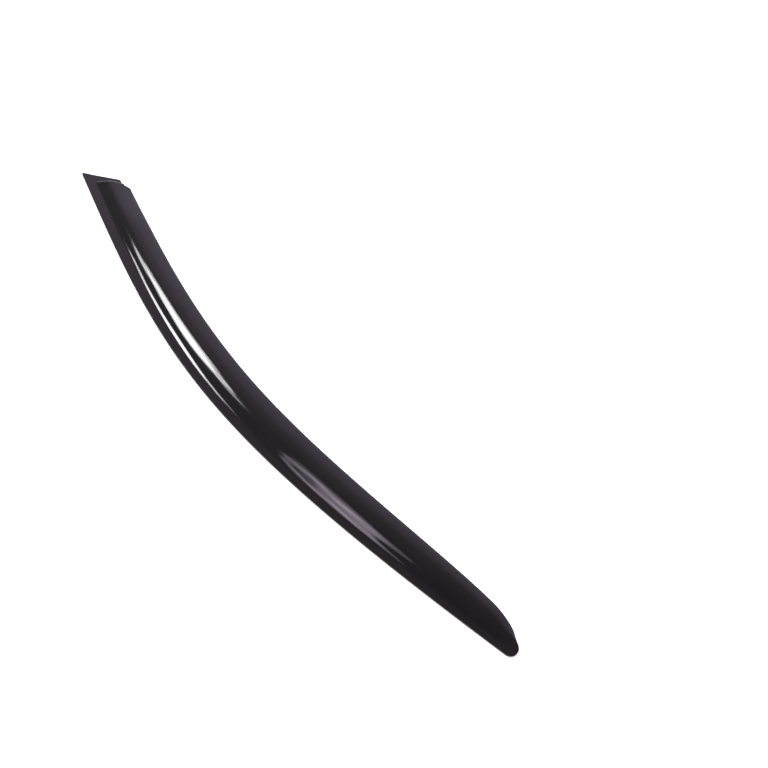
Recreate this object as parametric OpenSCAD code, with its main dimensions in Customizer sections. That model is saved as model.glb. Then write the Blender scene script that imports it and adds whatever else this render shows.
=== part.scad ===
// Rain deflector for the front side window of a car door.
//
// One thermoformed sheet of smoked acrylic. A flat flange follows the arched
// top of the window frame and turns down along the rear end. Inside the flange
// the sheet rises over a curved wall to a shallow bubble, falls gently to its
// free edge and tapers to a blunt nose. Foam tape under the flange holds it,
// still under its red release liner.
//
// Frame: +X runs rearward along the door, +Y up toward the flange, +Z out of
// the car. The face of the release liner is z = 0, and the origin is centred
// over the length and the height of the deflector.

/* [Flange edge] */
// Straight distance from the rear corner to the tip
chord_l = 1014; // [800:1:1200]
// Angle between the chord and the flange edge at the rear corner, in degrees
rear_angle = 14.8; // [8:0.1:22]
// Angle between the chord and the flange edge at the tip, in degrees
tip_angle = 14.4; // [8:0.1:22]
// How far the rear angle carries along the edge, as a share of the chord
rear_pull = 0.399; // [0.3:0.001:0.45]
// How far the tip angle carries along the edge, as a share of the chord
tip_pull = 0.517; // [0.3:0.001:0.55]
// Radius of both corners of the rear end
corner_r = 3; // [1:0.1:5]

/* [Width] */
// Width of the deflector just inside its rear end
rear_w = 61.7; // [54:0.1:80]
// Width of the deflector at its widest
mid_w = 67.2; // [60:0.1:90]
// Distance from the rear corner to the widest place
wide_at = 455; // [300:5:560]
// Width of the flat flange across the rear end
end_w = 54.5; // [48:0.1:60]
// Distance from the rear corner at which the free edge starts to step out
step_start = 21.2; // [12:0.1:26]
// Length of that step along the edge
step_l = 8.2; // [8:0.1:20]
// How long the taper stays full, as a share of its length
taper_pull = 1.17; // [0.6:0.01:1.2]
// How far the nose carries back along the taper, as a share of its length
nose_pull = 0.077; // [0.07:0.001:0.2]
// Radius of both corners of the nose
nose_r = 11.3; // [8:0.1:12.5]

/* [Rear end] */
// Lean of the rear end away from square to the flange, in degrees
end_slant = 26.7; // [0:0.1:32]
// Length over which that lean fades out along the deflector
slant_fade = 180; // [140:5:260]
// Set-back of the rear end inside the corner
end_setback = 0.6; // [0:0.1:2.5]

/* [Sheet] */
// Thickness of the formed sheet
sheet_t = 2.5; // [1.5:0.1:3]
// Flat width of the long flange at the rear end
flange_w = 14; // [11:0.5:15]
// Flat width of the long flange at the tip
flange_tip_w = 8.5; // [7:0.5:11]
// Flat width of the rear flange
end_flange_w = 10; // [8.8:0.1:12]
// Where the crest lies across the deflector, as a share of its width
crest_share = 0.66; // [0.6:0.01:0.7]
// Least width of the curved wall between the long flange and the crest
min_wall_w = 17.5; // [15:0.5:20]
// Width of the curved wall between the rear flange and the crest
end_wall_w = 11; // [10:0.5:18]
// Rounding of the bubble's corner, in wall widths
corner_round = 1; // [1:0.1:2.5]
// Height of the crest above the flange
crest_h = 9.5; // [6:0.1:11]
// Drop of the face from the crest to the free edge
face_fall = 2.6; // [0:0.1:3.5]
// Extra drop where the free edge rolls over
edge_roll_h = 0.5; // [0:0.1:1.5]
// Width of that roll
edge_roll_w = 4; // [3.5:0.5:8]
// Height of the crest that is left at the nose
nose_h = 0.5; // [0.3:0.1:2]
// Length over which the crest runs out toward the nose
run_out_l = 61; // [45:1:120]

/* [Tape] */
// Width of the long foam tape
tape_w = 8; // [5:0.5:9]
// Width of the foam tape across the rear end
end_tape_w = 6.5; // [4:0.5:7]
// Thickness of the foam tape
tape_t = 1; // [0.5:0.1:2]
// Thickness of the release liner
liner_t = 0.2; // [0.1:0.05:0.4]
// Margin between the sheet's edge and the tape
tape_margin = 1.5; // [1:0.1:2]
// Gap between the long tape and the rear tape
tape_gap = 0.6; // [0.4:0.1:2]
// Distance from the tip's end to the end of the long tape
tape_tip_margin = 22; // [18:1:60]

/* [Hidden] */

// Rows of points along the deflector: rear corners, rear end, main stretch, nose
corner_rows = 4;
end_rows = 28;
main_rows = 34;
nose_rows = 26;
end_zone = 46;
nose_zone = 70;
// Columns of points across it: flange, wall, face, rolled edge
flange_cols = 3;
wall_cols = 14;
face_cols = 9;
roll_cols = 5;
// Steps of the table of arc lengths, of the taper, and of the tape's edges
arc_steps = 240;
taper_steps = 80;
tape_steps = 72;
// Step of the finite differences that give the sheet's normal
probe = 0.05;

bottom_z = liner_t + tape_t;
top_z = bottom_z + sheet_t;
nose_w = 2 * nose_r + 1;
roll_start_l = 40;
roll_fade_l = 60;
// Fullness of the wall's crown and of the fillet at its foot
crown = 3.3;
foot = 2.15;

function smooth(x) = let (q = max(0, min(1, x))) q * q * (3 - 2 * q);

// Flange edge: one cubic curve from the rear corner to the tip
edge_a = [chord_l / 2, 0];
edge_b = edge_a + rear_pull * chord_l * [-cos(rear_angle), sin(rear_angle)];
edge_d = [-chord_l / 2, 0];
edge_c = edge_d + tip_pull * chord_l * [cos(tip_angle), sin(tip_angle)];
function edge_at(t) =
    pow(1 - t, 3) * edge_a + 3 * pow(1 - t, 2) * t * edge_b
    + 3 * (1 - t) * t * t * edge_c + pow(t, 3) * edge_d;
function edge_slope(t) =
    pow(1 - t, 2) * (edge_b - edge_a) + 2 * (1 - t) * t * (edge_c - edge_b)
    + t * t * (edge_d - edge_c);
function edge_step(i) = norm(edge_at((i + 1) / arc_steps) - edge_at(i / arc_steps));
arc_table = [
    for (i = 0, s = 0; i <= arc_steps; s = s + edge_step(i), i = i + 1) [s, i / arc_steps]
];
edge_l = arc_table[arc_steps][0];

// Width of the sheet at distance s along the flange edge. From the widest place
// to the nose it follows a second cubic curve, [distance, width].
taper_l = edge_l - wide_at;
taper_a = [wide_at, mid_w];
taper_b = taper_a + [taper_pull * taper_l, 0];
taper_d = [edge_l, nose_w];
taper_c = taper_d - [nose_pull * taper_l, 0];
function taper_at(t) =
    pow(1 - t, 3) * taper_a + 3 * pow(1 - t, 2) * t * taper_b
    + 3 * (1 - t) * t * t * taper_c + pow(t, 3) * taper_d;
taper_table = [for (i = [0:taper_steps]) taper_at(i / taper_steps)];
function body_w(s) =
    s < wide_at ? rear_w + (mid_w - rear_w) * smooth(s / wide_at) : lookup(s, taper_table);
function arc_in(reach, r) = r * (1 - sqrt(1 - pow(max(0, min(1, reach / r)), 2)));
function corner_in(s) = arc_in(corner_r - s, corner_r) + arc_in(s - edge_l + nose_r, nose_r);
function free_edge_w(s) =
    body_w(s) - corner_in(s)
    - (body_w(s) - end_w) * (1 - smooth((s - step_start) / step_l));
function flange_edge_w(s) = corner_in(s);

// Place of a point at distance s along the edge and w inside it
function lean(s, w) =
    tan(end_slant) * w * (1 - smooth(s / slant_fade))
    + end_setback * smooth((w - tape_margin - tape_w) / 4) * (1 - smooth(s / 30));
function place(s, w) =
    let (
        t = lookup(s, arc_table),
        slope = edge_slope(t),
        along = slope / norm(slope),
        across = [-along[1], along[0]]
    )
    edge_at(t) + across * w + along * lean(s, w);

// Distances of the flange's inner edge and of the crest from the flange edge
function flat_w(s) = flange_w + (flange_tip_w - flange_w) * s / edge_l;
function crest_w(s) = max(crest_share * body_w(s), flat_w(s) + min_wall_w);

// Height of the sheet above the flange: 0 on the flange, 1 at the crest
function rounded_min(a, b) =
    let (r = corner_round)
    (a < r && b < r) ? r - norm([r - a, r - b]) : min(a, b);
function rise(s, w) =
    let (
        a = (w - flat_w(s)) / (crest_w(s) - flat_w(s)),
        b = (s * cos(end_slant) - end_flange_w) / end_wall_w,
        d = max(0, min(1, rounded_min(a, b)))
    )
    pow(1 - pow(1 - d, crown), foot);
function crest_at(s) = crest_h - (crest_h - nose_h) * smooth((s - edge_l + run_out_l) / run_out_l);
function face_drop(s, w) =
    face_fall * pow(max(0, (w - crest_w(s)) / max(body_w(s) - crest_w(s), 4)), 1.5);
function roll_drop(s, w) =
    edge_roll_h * pow(max(0, 1 - (free_edge_w(s) - w) / edge_roll_w), 2)
    * smooth((s - step_start) / roll_start_l)
    * (1 - smooth((s - edge_l + roll_fade_l + 20) / roll_fade_l));
function height(s, w) =
    rise(s, w) * (crest_at(s) - face_drop(s, w) - roll_drop(s, w));

function outer(s, w) = let (p = place(s, w)) [p[0], p[1], top_z + height(s, w)];
function normal(s, w) =
    let (
        u = outer(s + probe, w) - outer(s - probe, w),
        v = outer(s, w + probe) - outer(s, w - probe),
        n = cross(u, v)
    )
    n / norm(n);
function inner(s, w) = outer(s, w) - sheet_t * normal(s, w);

// Rows along the sheet, close together where it turns
rows = concat(
    [for (i = [0:corner_rows - 1]) corner_r * (1 - cos(90 * i / corner_rows))],
    [for (i = [0:end_rows - 1]) corner_r + i * (end_zone - corner_r) / end_rows],
    [for (i = [0:main_rows - 1]) end_zone + i * (edge_l - end_zone - nose_zone) / main_rows],
    [for (i = [0:nose_rows]) edge_l - 0.05 - (nose_zone - 0.05) * (1 - sin(90 * i / nose_rows))]
);

// Columns across the sheet at one row, following the flange, wall and roll
function span(a, b, n) = [for (i = [0:n - 1]) a + (b - a) * i / n];
function columns(s) =
    let (
        w0 = flange_edge_w(s),
        w4 = free_edge_w(s),
        w1 = min(flat_w(s), w0 + 0.25 * (w4 - w0)),
        w2 = min(crest_w(s), w0 + 0.7 * (w4 - w0)),
        w3 = max(w4 - edge_roll_w, w0 + 0.88 * (w4 - w0))
    )
    concat(
        span(w0, w1, flange_cols), span(w1, w2, wall_cols),
        span(w2, w3, face_cols), span(w3, w4, roll_cols), [w4]
    );

n_rows = len(rows);
n_cols = flange_cols + wall_cols + face_cols + roll_cols + 1;
n_grid = n_rows * n_cols;
outer_pts = [for (s = rows) for (w = columns(s)) outer(s, w)];
inner_pts = [for (s = rows) for (w = columns(s)) inner(s, w)];
sheet_pts = concat(outer_pts, inner_pts);

// Centre of the deflector's box, which becomes the origin
all_x = [for (p = sheet_pts) p[0]];
all_y = [for (p = sheet_pts) p[1]];
centre = [(min(all_x) + max(all_x)) / 2, (min(all_y) + max(all_y)) / 2, 0];

function at(i, j) = i * n_cols + j;
function quad(a, b, c, d) = [[a, b, c], [a, c, d]];
sheet_faces = concat(
    [for (i = [0:n_rows - 2]) for (j = [0:n_cols - 2])
        for (f = quad(at(i, j), at(i, j + 1), at(i + 1, j + 1), at(i + 1, j))) f],
    [for (i = [0:n_rows - 2]) for (j = [0:n_cols - 2])
        for (f = quad(at(i, j), at(i + 1, j), at(i + 1, j + 1), at(i, j + 1))) f + n_grid * [1, 1, 1]],
    [for (i = [0:n_rows - 2]) for (f = quad(
        at(i, 0), at(i + 1, 0), at(i + 1, 0) + n_grid, at(i, 0) + n_grid)) f],
    [for (i = [0:n_rows - 2]) for (f = quad(
        at(i + 1, n_cols - 1), at(i, n_cols - 1),
        at(i, n_cols - 1) + n_grid, at(i + 1, n_cols - 1) + n_grid)) f],
    [for (j = [0:n_cols - 2]) for (f = quad(
        at(0, j + 1), at(0, j), at(0, j) + n_grid, at(0, j + 1) + n_grid)) f],
    [for (j = [0:n_cols - 2]) for (f = quad(
        at(n_rows - 1, j), at(n_rows - 1, j + 1),
        at(n_rows - 1, j + 1) + n_grid, at(n_rows - 1, j) + n_grid)) f]
);

// Outlines of the two tapes, seen from above
long_from = tape_margin / cos(end_slant);
long_to = edge_l - tape_tip_margin;
function long_s(i) = long_from + (long_to - long_from) * i / tape_steps;
long_outline = concat(
    [for (i = [0:tape_steps]) place(long_s(i), tape_margin)],
    [for (i = [tape_steps:-1:0]) place(long_s(i), tape_margin + tape_w)]
);
rear_from_w = tape_margin + tape_w + tape_gap;
rear_to_w = end_w - tape_margin;
rear_s = [tape_margin / cos(end_slant), (tape_margin + end_tape_w) / cos(end_slant)];
function rear_w_at(i) = rear_from_w + (rear_to_w - rear_from_w) * i / 24;
rear_outline = concat(
    [for (i = [0:24]) place(rear_s[0], rear_w_at(i))],
    [for (i = [24:-1:0]) place(rear_s[1], rear_w_at(i))]
);

module strip(outline, z, t) {
    translate([-centre[0], -centre[1], z])
        linear_extrude(height = t)
            polygon(outline);
}

module visor() {
    color([0.09, 0.085, 0.095])
        translate(-centre)
            polyhedron(points = sheet_pts, faces = sheet_faces, convexity = 6);
}

module foam_tape_long() {
    color([0.16, 0.16, 0.17])
        strip(long_outline, liner_t, tape_t);
}

module foam_tape_rear() {
    color([0.16, 0.16, 0.17])
        strip(rear_outline, liner_t, tape_t);
}

module liner_long() {
    color([0.78, 0.16, 0.19])
        strip(long_outline, 0, liner_t);
}

module liner_rear() {
    color([0.78, 0.16, 0.19])
        strip(rear_outline, 0, liner_t);
}

visor();
foam_tape_long();
foam_tape_rear();
liner_long();
liner_rear();
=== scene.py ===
# Window rain deflector: the dressed model on a plain pale floor.
# Frame: +X rearward along the door, +Y toward the flange, +Z out of the car.
import math

import bpy
import numpy as np
from mathutils import Matrix, Vector


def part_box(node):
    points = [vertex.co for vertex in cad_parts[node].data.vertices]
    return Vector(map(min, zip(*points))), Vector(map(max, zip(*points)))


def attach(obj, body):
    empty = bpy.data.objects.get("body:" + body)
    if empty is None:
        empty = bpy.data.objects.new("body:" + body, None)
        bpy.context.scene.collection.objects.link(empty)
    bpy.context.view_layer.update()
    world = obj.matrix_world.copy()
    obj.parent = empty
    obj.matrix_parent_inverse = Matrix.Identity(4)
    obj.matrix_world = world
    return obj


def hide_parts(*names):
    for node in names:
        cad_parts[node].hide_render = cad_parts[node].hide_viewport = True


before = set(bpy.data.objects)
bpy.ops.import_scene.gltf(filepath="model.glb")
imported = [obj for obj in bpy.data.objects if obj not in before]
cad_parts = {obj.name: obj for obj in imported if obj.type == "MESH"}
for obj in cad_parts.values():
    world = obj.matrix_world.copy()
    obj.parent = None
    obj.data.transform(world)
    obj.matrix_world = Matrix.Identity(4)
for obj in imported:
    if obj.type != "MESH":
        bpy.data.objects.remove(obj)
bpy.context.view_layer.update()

# ---------------------------------------------------------------- sizes, mm
MM = 1000             # mm in a metre
# plan: the flange's edge is a cubic curve between the chord's two ends
CHORD_L, REAR_ANGLE, TIP_ANGLE, REAR_PULL, TIP_PULL = 1014.0, 14.8, 14.4, 0.399, 0.517
CORNER_R, REAR_W, MID_W, WIDE_AT, END_W = 3.0, 61.7, 67.2, 455.0, 54.5
STEP_START, STEP_L, TAPER_PULL, NOSE_PULL, NOSE_R = 21.2, 8.2, 1.17, 0.077, 11.3
NOSE_W = 2 * NOSE_R + 1
END_SLANT, SLANT_FADE = 26.7, 180.0
END_SETBACK, SETBACK_RISE, SETBACK_FADE = 0.6, 4.0, 30.0
# section: flange, wall, crest, face and rolled free edge
SHEET_T, FLANGE_W, FLANGE_TIP_W, END_FLANGE_W, END_WALL_W = 2.5, 14.4, 8.5, 10.0, 9.0
CREST_SHARE, MIN_WALL_W, CORNER_ROUND, CREST_H = 0.66, 17.5, 1.0, 9.5
CROWN, FOOT = 3.3, 2.15
FACE_FALL, FACE_BEND, FACE_MIN_W = 2.6, 1.5, 4
EDGE_ROLL_H, EDGE_ROLL_W, ROLL_START_L, ROLL_END_AT, ROLL_END_L = 0.5, 4.0, 40, 80, 60
NOSE_H, RUN_OUT_L = 0.5, 61.0
# the photographed bubble starts a little lower at the rear end and fills out along it
REAR_LOW, REAR_LOW_FROM, REAR_LOW_L = 0.22, 15.0, 140.0
TAPE_W, TAPE_T, TAPE_MARGIN, LINER_T = 8.0, 1.0, 1.5, 0.2
TOP_Z = LINER_T + TAPE_T + SHEET_T

# Mesh: rounding of the cut edge and its steps, rows and columns
RIM_R, RIM_STEPS = 0.2, 4
CORNER_ROWS, END_ROWS, MAIN_ROWS, NOSE_ROWS = 9, 64, 300, 40
END_ROWS_TO, NOSE_ROWS_L = 46, 70
COLUMNS, COLUMN_MARGIN, FIRST_COLUMN = 70, 0.02, 0.004
ARC_STEPS, TAPER_STEPS, SLOPE_STEP = 1200, 400, 0.05

# Camera: focal length in px of a 768 px wide image, place in mm and angles in radians
CAM_F, IMAGE_W, SENSOR = 1085.2, 768.0, 36.0
CAM_POS = (-694.107, 710.917, 1178.468)
CAM_AZ, CAM_DOWN, CAM_ROLL = -0.963877, 0.831027, 0.339233
CLIP_NEAR, CLIP_FAR = 0.01, 100

# Floor, in metres
FLOOR_HALF, FLOOR_DROP = 14.0, 0.0002

# Sky: sine of the elevation, radiance, tint
SKY = (
    (0.00, 1.00, (0.98, 0.92, 1.08)),
    (0.37, 1.00, (0.97, 0.90, 1.12)),
    (0.50, 0.85, (0.97, 0.87, 1.14)),
    (0.60, 0.66, (0.98, 0.86, 1.14)),
    (0.66, 0.48, (1.06, 0.84, 1.08)),
    (0.73, 0.26, (1.12, 0.84, 1.03)),
    (0.82, 0.11, (1.20, 0.90, 0.92)),
    (0.88, 0.06, (1.10, 0.95, 0.95)),
    (1.00, 0.03, (1.0, 1.0, 1.0)),
)
# Sectors of the sky: bearing in degrees, then the share of light kept by the
# cosine of the angle with it. The first two are multiplied, and the third is taken
# where it is brighter.
FRONT_SECTOR = (-75, [(-0.2, 0.02), (0.0, 0.04), (0.30, 0.10), (0.57, 0.72), (0.72, 1.0)])
SIDE_SECTOR = (-20, [(0.0, 0.35), (0.22, 0.50), (0.60, 0.80), (0.80, 1.0)])
BACK_SECTOR = (195, [(0.50, 0.0), (0.75, 0.7)])

# Lamps: name, azimuth, elevation, roll in degrees, half sizes as shares of the
# distance, radiance, colour. The rear ones make the first bright streak on the
# bubble, the front ones the fainter second one.
LAMP_DIST = 4.0
LAMPS = (
    ("streak_rear_core", 17.6, 51.3, 44.5, 0.075, 0.172, 12.6, (1.0, 0.99, 1.0)),
    ("streak_rear_wide", 13.8, 51.9, 50.5, 0.136, 0.272, 9.3, (0.97, 0.98, 1.0)),
    ("streak_rear_far", 6.3, 49.4, 54.8, 0.084, 0.327, 7.4, (1.0, 0.99, 1.0)),
    ("streak_rear_low", 17.2, 38.3, 32.1, 0.044, 0.114, 8.7, (1.0, 0.98, 1.0)),
    ("streak_rear_end", 21.5, 33.5, 20.0, 0.030, 0.050, 4.0, (1.0, 0.97, 1.0)),
    ("streak_rear_high", 22.2, 59.5, 50.4, 0.040, 0.107, 4.3, (0.95, 0.97, 1.0)),
    ("streak_front_wide", 67.5, 65.2, 33.6, 0.102, 0.362, 0.80, (0.97, 0.83, 1.0)),
    ("streak_front_core", 72.9, 67.1, 44.9, 0.103, 0.200, 1.2, (1.0, 0.84, 1.0)),
    ("streak_front_bar", 74.7, 63.0, 95.8, 0.078, 0.027, 1.65, (1.0, 0.84, 1.0)),
    ("streak_front_near", 60.2, 62.4, 13.1, 0.037, 0.135, 2.1, (0.97, 0.83, 1.0)),
    ("streak_front_far", 76.5, 62.2, 25.2, 0.088, 0.149, 1.75, (0.97, 0.83, 1.0)),
)


# ------------------------------------------------------- the sheet's surface
def smooth(x):
    x = np.clip(x, 0, 1)
    return x * x * (3 - 2 * x)


def bezier(p0, p1, p2, p3, t):
    t = np.asarray(t, float)[..., None]
    return (1 - t) ** 3 * p0 + 3 * (1 - t) ** 2 * t * p1 + 3 * (1 - t) * t * t * p2 + t ** 3 * p3


def unit(v):
    return v / np.linalg.norm(v, axis=-1, keepdims=True)


def heading(degrees):
    a = math.radians(degrees)
    return np.array([math.cos(a), math.sin(a)])


# the flange's edge: rear end, two handles, tip end, and its length along the curve
EDGE_REAR = np.array([CHORD_L / 2, 0.0])
EDGE_TIP = -EDGE_REAR
REAR_HANDLE = EDGE_REAR + REAR_PULL * CHORD_L * heading(REAR_ANGLE) * (-1, 1)
TIP_HANDLE = EDGE_TIP + TIP_PULL * CHORD_L * heading(TIP_ANGLE)
ARC_T = np.linspace(0, 1, ARC_STEPS + 1)
ARC_P = bezier(EDGE_REAR, REAR_HANDLE, TIP_HANDLE, EDGE_TIP, ARC_T)
ARC_S = np.r_[0, np.cumsum(np.linalg.norm(np.diff(ARC_P, axis=0), axis=1))]
EDGE_L = ARC_S[-1]
TAPER_L = EDGE_L - WIDE_AT
TAPER = bezier(
    np.array([WIDE_AT, MID_W]),
    np.array([WIDE_AT + TAPER_PULL * TAPER_L, MID_W]),
    np.array([EDGE_L - NOSE_PULL * TAPER_L, NOSE_W]),
    np.array([EDGE_L, NOSE_W]),
    np.linspace(0, 1, TAPER_STEPS + 1))


# s is the place along the flange's edge from the rear end, w the distance across
def body_w(s):
    """Width of the sheet before its corners are rounded and its rear end is stepped."""
    widening = REAR_W + (MID_W - REAR_W) * smooth(s / WIDE_AT)
    return np.where(s < WIDE_AT, widening, np.interp(s, TAPER[:, 0], TAPER[:, 1]))


def arc_in(reach, r):
    return r * (1 - np.sqrt(1 - np.clip(reach / r, 0, 1) ** 2))


def corner_in(s, inset=0.0):
    """How far the rounded ends draw both long edges in."""
    return arc_in(CORNER_R - s, CORNER_R - inset) + arc_in(s - EDGE_L + NOSE_R, NOSE_R - inset)


def free_w(s, inset=0.0):
    """The free edge."""
    step = (body_w(s) - END_W) * (1 - smooth((s - STEP_START) / STEP_L))
    return body_w(s) - step - inset - corner_in(s, inset)


def flange_w(s, inset=0.0):
    """The flange's edge."""
    return inset + corner_in(s, inset)


def flat_w(s):
    """The foot of the wall."""
    return FLANGE_W + (FLANGE_TIP_W - FLANGE_W) * smooth(s / EDGE_L)


def crest_w(s):
    return np.maximum(CREST_SHARE * body_w(s), flat_w(s) + MIN_WALL_W)


def place(s, w):
    """Where (s, w) lies in the plan."""
    t = np.interp(s, ARC_S, ARC_T)
    tt = t[..., None]
    slope = (1 - tt) ** 2 * (REAR_HANDLE - EDGE_REAR)
    slope = slope + 2 * (1 - tt) * tt * (TIP_HANDLE - REAR_HANDLE)
    slope = slope + tt * tt * (EDGE_TIP - TIP_HANDLE)
    along = unit(slope)
    across = np.stack([-along[..., 1], along[..., 0]], -1)
    lean = math.tan(math.radians(END_SLANT)) * w * (1 - smooth(s / SLANT_FADE))
    past_tape = smooth((w - TAPE_MARGIN - TAPE_W) / SETBACK_RISE)
    lean = lean + END_SETBACK * past_tape * (1 - smooth(s / SETBACK_FADE))
    edge = bezier(EDGE_REAR, REAR_HANDLE, TIP_HANDLE, EDGE_TIP, t)
    return edge + across * w[..., None] + along * lean[..., None]


def height(s, w):
    """Height of the outer side over the flange."""
    cw, bw, r = crest_w(s), body_w(s), CORNER_ROUND
    a = (w - flat_w(s)) / (cw - flat_w(s))
    b = (s * math.cos(math.radians(END_SLANT)) - END_FLANGE_W) / END_WALL_W
    in_corner = r - np.hypot(r - a, r - b)
    d = np.clip(np.where((a < r) & (b < r), in_corner, np.minimum(a, b)), 0, 1)
    rise = (1 - (1 - d) ** CROWN) ** FOOT
    crest = CREST_H - (CREST_H - NOSE_H) * smooth((s - EDGE_L + RUN_OUT_L) / RUN_OUT_L)
    face = FACE_FALL * np.maximum(0, (w - cw) / np.maximum(bw - cw, FACE_MIN_W)) ** FACE_BEND
    roll = EDGE_ROLL_H * np.maximum(0, 1 - (free_w(s) - w) / EDGE_ROLL_W) ** 2
    fade = 1 - smooth((s - EDGE_L + ROLL_END_AT) / ROLL_END_L)
    roll = roll * smooth((s - STEP_START) / ROLL_START_L) * fade
    fill = 1 - REAR_LOW * (1 - smooth((s - REAR_LOW_FROM) / REAR_LOW_L))
    return rise * fill * (crest - face - roll)


def outer(s, w):
    return np.concatenate([place(s, w), (TOP_Z + height(s, w))[..., None]], -1)


def normal(s, w):
    """The outer side's unit normal, upward."""
    h = SLOPE_STEP
    n = unit(np.cross(outer(s + h, w) - outer(s - h, w), outer(s, w + h) - outer(s, w - h)))
    return n * np.sign(n[..., 2:3])


# ------------------------------------------------------------ the mesh pieces
def rows_and_columns():
    """Places along the sheet and shares across it, closest where it turns."""
    quarter = np.linspace(0, math.pi / 2, CORNER_ROWS)
    nose_quarter = np.linspace(0, math.pi / 2, NOSE_ROWS)
    s = np.r_[
        RIM_R + (CORNER_R - RIM_R) * (1 - np.cos(quarter))[:-1],
        np.linspace(CORNER_R, END_ROWS_TO, END_ROWS)[:-1],
        np.linspace(END_ROWS_TO, EDGE_L - NOSE_ROWS_L, MAIN_ROWS)[:-1],
        EDGE_L - RIM_R - (NOSE_ROWS_L - RIM_R) * (1 - np.sin(nose_quarter)),
    ]
    middle = np.linspace(COLUMN_MARGIN, 1 - COLUMN_MARGIN, COLUMNS)
    return s, np.r_[0, FIRST_COLUMN, middle, 1 - FIRST_COLUMN, 1]


def ring_of(rows, columns):
    """The closed line of grid places round the sheet."""
    ring = [(i, 0) for i in range(rows)]
    ring += [(rows - 1, j) for j in range(1, columns)]
    ring += [(i, columns - 1) for i in range(rows - 2, -1, -1)]
    ring += [(0, j) for j in range(columns - 2, 0, -1)]
    return np.array([i * columns + j for i, j in ring])


def sheet_mesh():
    """Outer side, inner side at the sheet's thickness, and a rounded rim."""
    s, v = rows_and_columns()
    S, V = np.meshgrid(s, v, indexing="ij")
    lo, hi = flange_w(S, RIM_R), free_w(S, RIM_R)
    W = lo + (hi - lo) * V
    P, N = outer(S, W), normal(S, W)
    rows, columns = S.shape

    ring_id = ring_of(rows, columns)
    rp, rn = P.reshape(-1, 3)[ring_id], N.reshape(-1, 3)[ring_id]
    tangent = unit(np.roll(rp, -1, 0) - np.roll(rp, 1, 0))
    out = unit(np.cross(tangent, rn))
    # the sign of the ring's area says which way round it runs, so which side is out
    area = 0.5 * np.sum(rp[:, 0] * np.roll(rp[:, 1], -1) - np.roll(rp[:, 0], -1) * rp[:, 1])
    if area < 0:
        out = -out
    rim = []
    for i in range(1, RIM_STEPS + 1):
        a = math.pi / 2 * i / RIM_STEPS
        rim.append(rp + RIM_R * math.sin(a) * out - RIM_R * (1 - math.cos(a)) * rn)
    for i in range(RIM_STEPS, 0, -1):
        a = math.pi / 2 * i / RIM_STEPS
        rim.append(rp - SHEET_T * rn + RIM_R * math.sin(a) * out + RIM_R * (1 - math.cos(a)) * rn)

    I, J = np.meshgrid(np.arange(rows - 1), np.arange(columns - 1), indexing="ij")
    a = I * columns + J
    quads = np.stack([a, a + 1, a + columns + 1, a + columns], -1).reshape(-1, 4)
    i, j = rows // 2, columns // 2
    up = np.cross(P[i, j + 1] - P[i, j], P[i + 1, j] - P[i, j])[2] > 0
    top = quads if up else quads[:, ::-1]
    faces = [top, top[:, ::-1] + rows * columns]
    base, m = 2 * rows * columns, len(ring_id)
    loops = [ring_id] + [base + i * m + np.arange(m) for i in range(2 * RIM_STEPS)]
    loops += [ring_id + rows * columns]
    for u, w in zip(loops[:-1], loops[1:]):
        q = np.stack([u, w, np.roll(w, -1), np.roll(u, -1)], -1)
        faces.append(q if area > 0 else q[:, ::-1])
    points = [P.reshape(-1, 3), (P - SHEET_T * N).reshape(-1, 3)] + rim
    return np.vstack(points), np.vstack(faces)


def make(name, points, faces, material, replaced):
    """One visible piece, in place of a CAD node."""
    mesh = bpy.data.meshes.new(name)
    mesh.from_pydata((points / MM).tolist(), [], faces.tolist())
    mesh.update()
    mesh.polygons.foreach_set("use_smooth", [True] * len(mesh.polygons))
    mesh.materials.append(material)
    obj = bpy.data.objects.new(name, mesh)
    bpy.context.scene.collection.objects.link(obj)
    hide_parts(replaced)
    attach(obj, "root")


# ------------------------------------------------------------------ materials
def new_material(name):
    m = bpy.data.materials.new(name)
    m.use_nodes = True
    t = m.node_tree
    return m, t, t.nodes["Principled BSDF"]


def node(tree, kind, **values):
    n = tree.nodes.new(kind)
    for k, v in values.items():
        setattr(n, k, v)
    return n


def noise(tree, coords, scale, detail=4.0, rough=0.55, stretch=None):
    n = node(tree, "ShaderNodeTexNoise")
    n.inputs["Scale"].default_value = scale
    n.inputs["Detail"].default_value = detail
    n.inputs["Roughness"].default_value = rough
    if stretch:
        mapping = node(tree, "ShaderNodeMapping")
        mapping.inputs["Scale"].default_value = stretch
        tree.links.new(coords, mapping.inputs["Vector"])
        coords = mapping.outputs["Vector"]
    tree.links.new(coords, n.inputs["Vector"])
    return n.outputs["Fac"]


def ramp(tree, fac, stops):
    """Colours by a factor; stops are (place, colour)."""
    n = node(tree, "ShaderNodeValToRGB")
    r = n.color_ramp
    while len(r.elements) < len(stops):
        r.elements.new(0.5)
    for e, (p, c) in zip(r.elements, stops):
        e.position = p
        e.color = (*c, 1)
    tree.links.new(fac, n.inputs["Fac"])
    return n.outputs["Color"]


def span(tree, fac, lo, hi, to_lo, to_hi):
    """A factor between lo and hi, carried over to to_lo and to_hi."""
    n = node(tree, "ShaderNodeMapRange")
    for k, v in (("From Min", lo), ("From Max", hi), ("To Min", to_lo), ("To Max", to_hi)):
        n.inputs[k].default_value = v
    tree.links.new(fac, n.inputs["Value"])
    return n.outputs["Result"]


def blend(tree, fac, a, b):
    n = node(tree, "ShaderNodeMix", data_type="RGBA")
    for socket, value in zip((n.inputs[0], n.inputs[6], n.inputs[7]), (fac, a, b)):
        tree.links.new(value, socket)
    return n.outputs[2]


def bump(tree, fac, strength, distance, before=None):
    n = node(tree, "ShaderNodeBump")
    n.inputs["Strength"].default_value = strength
    n.inputs["Distance"].default_value = distance
    tree.links.new(fac, n.inputs["Height"])
    if before is not None:
        tree.links.new(before, n.inputs["Normal"])
    return n.outputs["Normal"]


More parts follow.
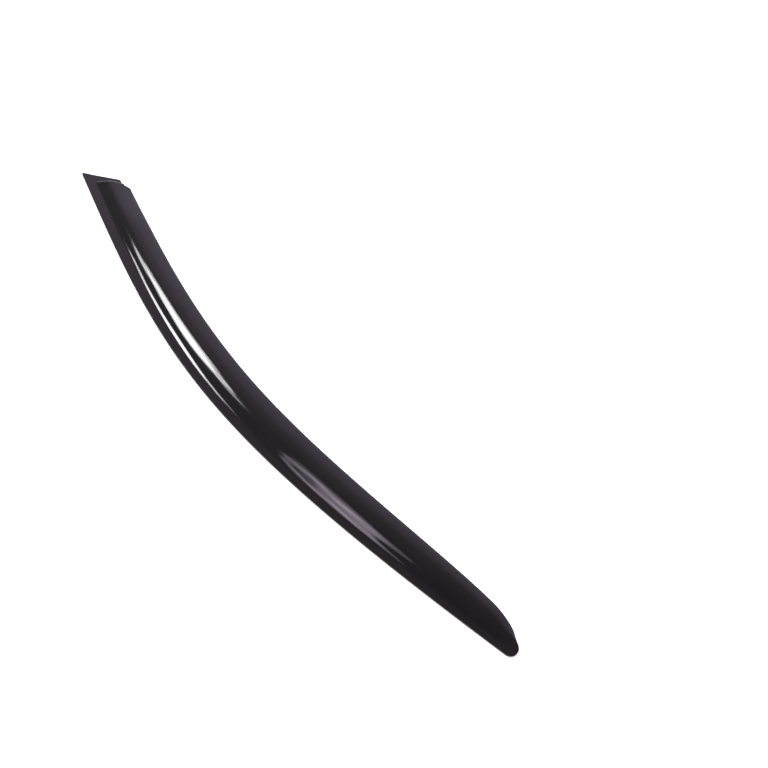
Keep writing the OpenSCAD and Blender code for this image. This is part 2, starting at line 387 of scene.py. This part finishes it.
def smoked_acrylic():
    """Glossy, near black; duller and browner on the cut edge."""
    face_lo, face_hi = (0.0180, 0.0169, 0.0177), (0.0205, 0.0190, 0.0201)
    brown_lo, brown_hi = (0.020, 0.013, 0.007), (0.028, 0.019, 0.011)
    m, t, p = new_material("smoked_acrylic")
    xyz = node(t, "ShaderNodeTexCoord").outputs["Object"]
    tint = noise(t, xyz, 14.0, 3.0)
    face = ramp(t, tint, [(0.3, face_lo), (0.7, face_hi)])
    p.inputs["IOR"].default_value = 1.49
    fine = noise(t, xyz, 900.0, 5.0, 0.6)
    # only the cut edge stands upright
    up = node(t, "ShaderNodeSeparateXYZ")
    t.links.new(node(t, "ShaderNodeTexCoord").outputs["Normal"], up.inputs["Vector"])
    level = node(t, "ShaderNodeMath", operation="ABSOLUTE")
    t.links.new(up.outputs["Z"], level.inputs[0])
    cut = span(t, level.outputs["Value"], 0.12, 0.3, 1.0, 0.0)
    sawn = noise(t, xyz, 500.0, 4.0, 0.6, (1.0, 1.0, 0.12))
    gloss, matt = span(t, fine, 0.3, 0.7, 0.05, 0.08), span(t, sawn, 0.3, 0.7, 0.42, 0.58)
    t.links.new(blend(t, cut, gloss, matt), p.inputs["Roughness"])
    brown = ramp(t, sawn, [(0.3, brown_lo), (0.7, brown_hi)])
    t.links.new(blend(t, cut, face, brown), p.inputs["Base Color"])
    wave = noise(t, xyz, 9.0, 1.0)
    waved = bump(t, wave, 0.10, 0.0006)
    t.links.new(bump(t, fine, 0.05, 0.00006, waved), p.inputs["Normal"])
    return m


def foam():
    """Black closed-cell foam."""
    m, t, p = new_material("foam_tape")
    xyz = node(t, "ShaderNodeTexCoord").outputs["Object"]
    cells = node(t, "ShaderNodeTexVoronoi")
    cells.inputs["Scale"].default_value = 2600.0
    t.links.new(xyz, cells.inputs["Vector"])
    stops = [(0.0, (0.012, 0.012, 0.013)), (0.6, (0.045, 0.045, 0.048))]
    t.links.new(ramp(t, cells.outputs["Distance"], stops), p.inputs["Base Color"])
    p.inputs["Roughness"].default_value = 0.9
    t.links.new(bump(t, cells.outputs["Distance"], 0.6, 0.0002), p.inputs["Normal"])
    return m


def liner():
    """Red release liner."""
    m, t, p = new_material("release_liner")
    xyz = node(t, "ShaderNodeTexCoord").outputs["Object"]
    cloud = noise(t, xyz, 40.0, 3.0)
    stops = [(0.3, (0.50, 0.018, 0.030)), (0.7, (0.60, 0.030, 0.045))]
    t.links.new(ramp(t, cloud, stops), p.inputs["Base Color"])
    grain = noise(t, xyz, 300.0, 3.0, 0.5)
    t.links.new(span(t, grain, 0.3, 0.7, 0.28, 0.42), p.inputs["Roughness"])
    t.links.new(bump(t, grain, 0.15, 0.0002), p.inputs["Normal"])
    return m


def floor_material():
    m, t, p = new_material("pale_floor")
    xyz = node(t, "ShaderNodeTexCoord").outputs["Object"]
    grain = noise(t, xyz, 60.0, 3.0)
    stops = [(0.3, (0.90, 0.90, 0.90)), (0.7, (0.93, 0.93, 0.93))]
    t.links.new(ramp(t, grain, stops), p.inputs["Base Color"])
    p.inputs["Roughness"].default_value = 0.9
    p.inputs["Specular IOR Level"].default_value = 0.1
    p.inputs["Emission Color"].default_value = (1, 1, 1, 1)
    p.inputs["Emission Strength"].default_value = 0.75
    return m


# ----------------------------------------------------------------- the pieces
ACRYLIC, FOAM, LINER = smoked_acrylic(), foam(), liner()

points, faces = sheet_mesh()
lo, hi = points.min(0), points.max(0)
centre = np.array([(lo[0] + hi[0]) / 2, (lo[1] + hi[1]) / 2, 0.0])
box_lo, box_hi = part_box("visor")
shift = np.array([(box_lo.x + box_hi.x) * MM / 2, (box_lo.y + box_hi.y) * MM / 2, 0.0])
# the finer curves would stand a hundredth of a millimetre outside the source's box
fit = np.array([
    min(1, (box_hi.x - box_lo.x) * MM / (hi[0] - lo[0])),
    min(1, (box_hi.y - box_lo.y) * MM / (hi[1] - lo[1])),
    1.0])
make("visor_sheet", (points - centre) * fit + shift, faces, ACRYLIC, "visor")

for name, material in (("foam_tape_long", FOAM), ("foam_tape_rear", FOAM),
                       ("liner_long", LINER), ("liner_rear", LINER)):
    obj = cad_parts[name]
    obj.data.materials.clear()
    obj.data.materials.append(material)

# ----------------------------------------------------------- floor and light
mesh = bpy.data.meshes.new("floor")
corners = [(x * FLOOR_HALF, y * FLOOR_HALF, -FLOOR_DROP) for x, y in ((-1, -1), (1, -1), (1, 1), (-1, 1))]
mesh.from_pydata(corners, [], [(0, 1, 2, 3)])
floor = bpy.data.objects.new("floor", mesh)
floor.data.materials.append(floor_material())
bpy.context.scene.collection.objects.link(floor)

world = bpy.data.worlds.new("studio")
bpy.context.scene.world = world
world.use_nodes = True
wt = world.node_tree
direction = wt.nodes.new("ShaderNodeTexCoord").outputs["Generated"]


def vector_math(operation, a, b):
    """A vector calculation of two sockets, or of a socket and a fixed vector."""
    n = node(wt, "ShaderNodeVectorMath", operation=operation)
    wt.links.new(a, n.inputs[0])
    if isinstance(b, tuple):
        n.inputs[1].default_value = b
    else:
        wt.links.new(b, n.inputs[1])
    return n


split = wt.nodes.new("ShaderNodeSeparateXYZ")
wt.links.new(direction, split.inputs["Vector"])
sky = ramp(wt, split.outputs["Z"], [(z, (v * r, v * g, v * b)) for z, v, (r, g, b) in SKY])
level = vector_math("MULTIPLY", direction, (1, 1, 0)).outputs["Vector"]
bearing = node(wt, "ShaderNodeVectorMath", operation="NORMALIZE")
wt.links.new(level, bearing.inputs[0])


def toward(az, stops):
    """Share of the light kept at a bearing, by the cosine of its angle with one bearing."""
    a = math.radians(az)
    toward_az = (math.cos(a), math.sin(a), 0)
    dot = vector_math("DOT_PRODUCT", bearing.outputs["Vector"], toward_az).outputs["Value"]
    # a ramp runs from 0 to 1, a cosine from -1 to 1
    return ramp(wt, span(wt, dot, -1, 1, 0, 1), [((d + 1) / 2, (v, v, v)) for d, v in stops])


front = vector_math("MULTIPLY", toward(*FRONT_SECTOR), toward(*SIDE_SECTOR)).outputs["Vector"]
both = vector_math("MAXIMUM", front, toward(*BACK_SECTOR)).outputs["Vector"]
lit = vector_math("MULTIPLY", sky, both).outputs["Vector"]
# the sector that stays dark in reflections is not seen as a dark backdrop
backdrop = node(wt, "ShaderNodeMix", data_type="RGBA")
wt.links.new(node(wt, "ShaderNodeLightPath").outputs["Is Camera Ray"], backdrop.inputs[0])
wt.links.new(lit, backdrop.inputs[6])
backdrop.inputs[7].default_value = (1, 1, 1, 1)
background = wt.nodes["Background"]
wt.links.new(backdrop.outputs[2], background.inputs["Color"])
background.inputs["Strength"].default_value = 1.0


def lamp(name, az, el, roll, half_x, half_y, radiance, colour):
    """An oval lamp in that direction, facing the part."""
    a, e = math.radians(az), math.radians(el)
    d = Vector((math.cos(e) * math.cos(a), math.cos(e) * math.sin(a), math.sin(e)))
    data = bpy.data.lights.new(name, "AREA")
    data.shape, data.color = "ELLIPSE", colour
    data.size, data.size_y = 2 * half_x * LAMP_DIST, 2 * half_y * LAMP_DIST
    data.energy = 4 * math.pi * half_x * half_y * LAMP_DIST * LAMP_DIST * radiance
    obj = bpy.data.objects.new(name, data)
    obj.location = d * LAMP_DIST
    obj.rotation_mode = "QUATERNION"
    turn = Matrix.Rotation(math.radians(roll), 4, "Z").to_quaternion()
    obj.rotation_quaternion = d.to_track_quat("Z", "Y") @ turn
    bpy.context.scene.collection.objects.link(obj)


for values in LAMPS:
    lamp(*values)

# --------------------------------------------------------------------- camera
cam = bpy.data.cameras.new("camera")
cam.sensor_width, cam.lens = SENSOR, SENSOR * CAM_F / IMAGE_W
cam.clip_start, cam.clip_end = CLIP_NEAR, CLIP_FAR
camera = bpy.data.objects.new("camera", cam)
forward = Vector((
    math.cos(CAM_DOWN) * math.cos(CAM_AZ),
    math.cos(CAM_DOWN) * math.sin(CAM_AZ),
    -math.sin(CAM_DOWN)))
right = Vector((math.sin(CAM_AZ), -math.cos(CAM_AZ), 0))
above = right.cross(forward)
c, s = math.cos(CAM_ROLL), math.sin(CAM_ROLL)
x_axis, y_axis = c * right + s * above, c * above - s * right
placed = Matrix((x_axis, y_axis, -forward)).transposed().to_4x4()
placed.translation = Vector(CAM_POS) / MM
camera.matrix_world = placed
bpy.context.scene.collection.objects.link(camera)
bpy.context.scene.camera = camera

view = bpy.context.scene.view_settings
view.view_transform, view.look, view.exposure, view.gamma = "Standard", "None", 0.0, 1.0
